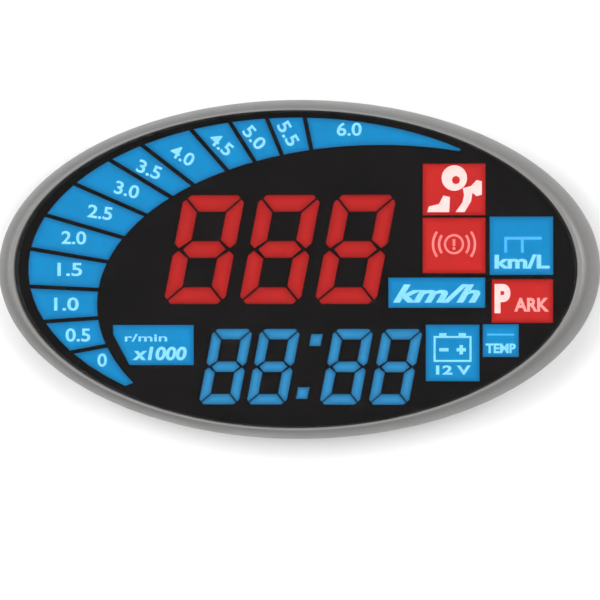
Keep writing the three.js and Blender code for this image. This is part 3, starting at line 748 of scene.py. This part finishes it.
def make_fuel_rate_mark():
    """The unit of fuel use, under a faint table-like outline."""
    at = centre_of("fuel_rate_tile")
    unit = written("km/L", 13.6, 3.5, at.x + 0.2, at.y - 3.9)
    mark("fuel_rate_mark", [unit], "lit_blue", MARK_ON_BLUE)
    outline = [
        (-4.2, -1.7), (-3.5, -1.7), (-3.5, 1.5), (-0.1, 1.5), (-0.1, -1.7),
        (0.6, -1.7), (0.6, 1.5), (5.0, 1.5), (5.0, 2.2), (-4.2, 2.2),
    ]
    mark("fuel_rate_faint_mark", [drawn([shifted(outline, at)])], "lit_blue", FAINT_MARK_ON_BLUE)


def make_speed_unit_mark():
    """The unit of the large digits, in slanted characters."""
    at = centre_of("speed_unit_tile")
    unit = written("km/h", 21.6, 4.6, at.x, at.y - 0.2, slant=0.35)
    mark("speed_unit_mark", [unit], "lit_blue", MARK_ON_BLUE)


def make_battery_mark():
    """A battery from the front, with its two posts and signs, over its nominal voltage."""
    at = centre_of("battery_tile")
    box_y = at.y + 1.0
    rim = [rectangle(at.x, box_y, 9.4, 6.4), rectangle(at.x, box_y, 8.4, 5.4)]
    posts = [rectangle(at.x + side * 2.4, box_y + 3.55, 1.8, 0.7) for side in (-1, 1)]
    sign_x, sign_y, sign_size, stroke = 2.15, box_y - 0.2, 2.3, 0.85
    signs = [
        rectangle(at.x - sign_x, sign_y, sign_size, stroke),
        cross(at.x + sign_x, sign_y, sign_size, stroke),
    ]
    row = written("12 V", 8.6, 2.3, at.x + 0.2, at.y - 4.2)
    parts = [drawn(rim), *[drawn([p]) for p in posts + signs], row]
    mark("battery_mark", parts, "lit_blue", MARK_ON_BLUE)


def make_temperature_mark():
    """A short word under a faint line."""
    at = centre_of("temperature_tile")
    line = rectangle(at.x, at.y + 1.5, 6.6, 0.45)
    unit = written("TEMP", 7.4, 2.4, at.x, at.y - 1.9)
    mark("temperature_mark", [unit], "lit_blue", MARK_ON_BLUE)
    mark("temperature_faint_mark", [drawn([line])], "lit_blue", FAINT_MARK_ON_BLUE)


def make_engine_speed_mark():
    """The unit and the multiplier of the gauge."""
    at = centre_of("engine_speed_tile")
    upper = written("r/min", 10.6, 1.9, at.x - 1.8, at.y + 1.8, weight=0.015)
    lower = written("x1000", 13.6, 3.4, at.x + 1.6, at.y - 2.1, slant=0.15)
    mark("engine_speed_mark", [upper, lower], "lit_blue", MARK_ON_BLUE)


# ---------------------------------------------------------------- case

FLOOR = shell_low.z
PARTING = 8.6 * MM  # the height where the case halves meet
BELOW = -1 * MM  # under the object, where the cutters of the underside begin

# The shell's profile, as radii along X and heights
FLAT_RADIUS = 61.5 * MM
HEEL_ROUND, WALL_ROUND = 8 * MM, 3 * MM
ROUNDS_MEET = -58  # degrees, the slope where one round passes into the other
FLOOR_THICKNESS = 1.8 * MM
WALL_THICKNESS = 1.9 * MM

# The fixings of the underside
BOSS_RADIUS, BOSS_TOP = 4.2 * MM, 4.6 * MM
HEAD_RADIUS, HEAD_TOP = 2.9 * MM, 3.4 * MM
SHANK_RADIUS = 1.7 * MM
FOOT_RADIUS, FOOT_TOP = 5.6 * MM, 2.1 * MM

SLOT_PITCH = 3.2 * MM
SLOT_HALF_WIDTH, SLOT_HALF_LENGTH = 0.65 * MM, 6 * MM


def shell_profile():
    """The section through the bowl: underside, two rounds, parting face and inside."""
    wall = SIDE_RADIUS
    heel = arc(FLAT_RADIUS, FLOOR + HEEL_ROUND, HEEL_ROUND, HEEL_ROUND, -90, ROUNDS_MEET, 8)
    side = arc(wall - WALL_ROUND, PARTING - 0.2 * MM, WALL_ROUND, WALL_ROUND, ROUNDS_MEET, 0, 8)
    inside = [
        (wall - WALL_THICKNESS, PARTING),
        (wall - WALL_THICKNESS, PARTING - 1.4 * MM),
        (wall - 8.3 * MM, FLOOR + 2.4 * MM),
        (wall - 10.3 * MM, FLOOR + FLOOR_THICKNESS),
        (0, FLOOR + FLOOR_THICKNESS),
    ]
    flat = [(0, FLOOR), (FLAT_RADIUS - SUPPORT, FLOOR)]
    return flat + heel + side + [(wall, PARTING)] + inside


def socket_housing():
    """Two blocks behind the power socket; the outer one stays inside the curve of the shell."""
    return [
        cutter_box((-7.2 * MM, 33 * MM, FLOOR + 1.3 * MM), (7.2 * MM, 36.3 * MM, PARTING)),
        cutter_box((-7.2 * MM, 36 * MM, FLOOR + 3.4 * MM), (7.2 * MM, 38.3 * MM, PARTING)),
    ]


def fixing_tools(number):
    """The boss of a case screw, then the wells of the screw and of a foot."""
    at, foot = middle(f"case_screw_{number}"), middle(f"rubber_foot_{number}")
    return cutter_rod(at.x, at.y, BOSS_RADIUS, FLOOR + 0.5 * MM, BOSS_TOP), [
        cutter_rod(at.x, at.y, HEAD_RADIUS, BELOW, HEAD_TOP),
        cutter_rod(at.x, at.y, SHANK_RADIUS, BELOW, PARTING),
        cutter_rod(foot.x, foot.y, FOOT_RADIUS, BELOW, FOOT_TOP),
    ]


def sound_slots():
    """Five slots through the floor that let the buzzer's sound out."""
    slots = []
    for step in range(-2, 3):
        x = step * SLOT_PITCH
        slots.append(cutter_box(
            (x - SLOT_HALF_WIDTH, -SLOT_HALF_LENGTH, FLOOR - 1 * MM),
            (x + SLOT_HALF_WIDTH, SLOT_HALF_LENGTH, FLOOR + 3 * MM)))
    return slots


def side_openings():
    """The recess for the plug, the socket's opening in it, and the notch for the thumb."""
    return [
        cutter_box((-6 * MM, 34.2 * MM, 3.4 * MM), (6 * MM, 45 * MM, 7.9 * MM)),
        cutter_box((-4.7 * MM, 32 * MM, 3.95 * MM), (4.7 * MM, 35.2 * MM, 7.45 * MM)),
        cutter_box((62 * MM, -7.4 * MM, 3.9 * MM), (80 * MM, 7.4 * MM, 20 * MM)),
    ]


def make_lower_shell():
    """The bowl of the case, with its fixings, sound slots and openings."""
    shell = swept_oval("lower_shell_body", shell_profile(), 216)
    joins, cuts = socket_housing(), []
    for fixing in range(1, 5):
        boss, wells = fixing_tools(fixing)
        joins.append(boss)
        cuts += wells
    cuts += sound_slots() + side_openings()
    carve(shell, "UNION", joins)
    carve(shell, "DIFFERENCE", cuts)
    sharp_by_angle(shell.data, 32)
    return finished(shell, CASE, "case_black", nodes=["lower_shell"])


THUMB_FACE = 12 * MM  # the radius of the rocker's thumb face
RIB_STEP = math.radians(5.6)
RIB_HALF_WIDTH = 0.3 * MM
RIB_ROOT, RIB_RISE = 0.3 * MM, 0.25 * MM  # below and above the thumb face
RIB_MARGIN = 0.5 * MM  # from a rib's ends to the rocker's


def make_rocker_ribs():
    """Grip ribs along the curved thumb face of the rocker."""
    centre = rocker_high.x - THUMB_FACE
    low = (THUMB_FACE - RIB_ROOT, -RIB_HALF_WIDTH, rocker_low.z + RIB_MARGIN)
    high = (THUMB_FACE + RIB_RISE, RIB_HALF_WIDTH, rocker_high.z - RIB_MARGIN)
    bm = bmesh.new()
    for step in range(-3, 4):
        rib = bmesh.new()
        box_mesh(rib, low, high)
        mesh = bpy.data.meshes.new("rib")
        rib.to_mesh(mesh)
        rib.free()
        mesh.transform(Matrix.Translation((centre, 0, 0)) @ Matrix.Rotation(step * RIB_STEP, 4, "Z"))
        bm.from_mesh(mesh)
    piece = object_of("thumb_rocker_ribs", mesh_from("thumb_rocker_ribs", bm, smooth=False))
    softened(piece, 0.1 * MM)
    return finished(piece, ROCKER, "case_black")


CONTACTS = 12
CONTACT_PITCH = 0.5 * MM
CONTACT_LENGTH = 3.2 * MM
CONTACT_HALF_WIDTH, CONTACT_HALF_HEIGHT = 0.13 * MM, 0.02 * MM
TONGUE_HALF_HEIGHT = 0.35 * MM
TONGUE_SETBACK = 1.0 * MM  # from the mouth of the socket to the contacts


def make_socket_contacts():
    """Gilt contacts on both faces of the socket's tongue."""
    bm = bmesh.new()
    centre = (socket_low.z + socket_high.z) / 2
    front = socket_high.y - TONGUE_SETBACK
    for step in range(CONTACTS):
        x = (step - (CONTACTS - 1) / 2) * CONTACT_PITCH
        for side in (-1, 1):
            face = centre + side * TONGUE_HALF_HEIGHT
            box_mesh(
                bm,
                (x - CONTACT_HALF_WIDTH, front - CONTACT_LENGTH, face - CONTACT_HALF_HEIGHT),
                (x + CONTACT_HALF_WIDTH, front, face + CONTACT_HALF_HEIGHT))
    piece = object_of("usb_socket_contacts", mesh_from("usb_socket_contacts", bm, smooth=False))
    gilt = drawn_metal("gilt", (0.83, 0.62, 0.28), (0.70, 0.50, 0.20), 0.25, 2000)
    return finished(piece, CASE, "bare_metal", gilt)


# ---------------------------------------------------------------- studio

def make_studio():
    """A pale floor, four soft square lights and a faint even sky."""
    floor = object_of("floor", bpy.data.meshes.new("floor"))
    bm = bmesh.new()
    bmesh.ops.create_grid(bm, x_segments=1, y_segments=1, size=3)
    bm.to_mesh(floor.data)
    bm.free()
    floor.location.z = -FLOOR_GAP
    paper = Shader("studio_paper", {"Roughness": 0.9})
    paper.set("Base Color", paper.mixed(paper.noise(3, 2), (0.83, 0.83, 0.83), (0.85, 0.85, 0.85)))
    floor.data.materials.append(paper.material)
    for name, (place, power) in SOFTBOXES.items():
        add_light(name, place, power)
    world = bpy.data.worlds.new("studio")
    world.use_nodes = True
    background = world.node_tree.nodes["Background"]
    background.inputs["Color"].default_value = (1, 1, 1, 1)
    background.inputs["Strength"].default_value = WORLD_STRENGTH
    bpy.context.scene.world = world
    bpy.context.scene.view_settings.view_transform = "Standard"


def add_light(name, place, power):
    """A square light that faces the object."""
    lamp = bpy.data.lights.new(name, "AREA")
    lamp.shape = "SQUARE"
    lamp.size = SOFTBOX_SIDE
    lamp.energy = power
    holder = object_of(name, lamp)
    holder.location = place
    holder.rotation_euler = (-Vector(place)).to_track_quat("-Z", "Y").to_euler()


def make_camera():
    """Above the face, leaning a little to the right, with the object above the middle of the frame."""
    camera = bpy.data.cameras.new("camera")
    camera.lens = LENS_LENGTH
    camera.sensor_width = SENSOR
    camera.clip_start = 0.01
    holder = object_of("camera", camera)
    back = Vector((math.sin(CAMERA_LEAN), 0, math.cos(CAMERA_LEAN)))
    holder.location = Vector(CAMERA_TARGET) + back * CAMERA_DISTANCE
    holder.rotation_euler = (0, CAMERA_LEAN, 0)
    bpy.context.scene.camera = holder


# ---------------------------------------------------------------- the object

SLOT_OF = {row["node"]: row["material_slot"] for row in frame["record"]["subparts"]}
LIT_NODES = [name for name in frame["nodes"] if SLOT_OF[name] in ("lit_red", "lit_blue")]


def finish_cad_nodes():
    """Every CAD node gets the finish of its slot; those that no piece stands for show it."""
    for name, node in frame["nodes"].items():
        node.data.materials.clear()
        node.data.materials.append(MATERIALS[SLOT_OF[name]])


def glow_of(name):
    """How far in from its edge a window reaches its full glow, in mm, and its material."""
    if name.startswith("speed_digit"):
        return 1.4, DIGIT_RED
    if name.startswith("clock"):
        return 1.0, CLOCK_BLUE
    return 1.2, MATERIALS[SLOT_OF[name]]


make_studio()
make_camera()
finish_cad_nodes()
make_trim_ring()
make_window()
for lit_node in LIT_NODES:
    make_lit_piece(lit_node, SLOT_OF[lit_node], *glow_of(lit_node))
make_gauge_labels()
make_seat_belt_mark()
make_brake_mark()
make_parking_mark()
make_fuel_rate_mark()
make_speed_unit_mark()
make_battery_mark()
make_temperature_mark()
make_engine_speed_mark()
make_lower_shell()
refined("thumb_rocker", "case_black", 0.35 * MM, body=ROCKER)
make_rocker_ribs()
refined("usb_socket", "bare_metal", 0.08 * MM)
make_socket_contacts()
for number in range(1, 5):
    refined(f"case_screw_{number}", "screw_steel", 0.12 * MM)
    refined(f"rubber_foot_{number}", "foot_rubber", 0.4 * MM)
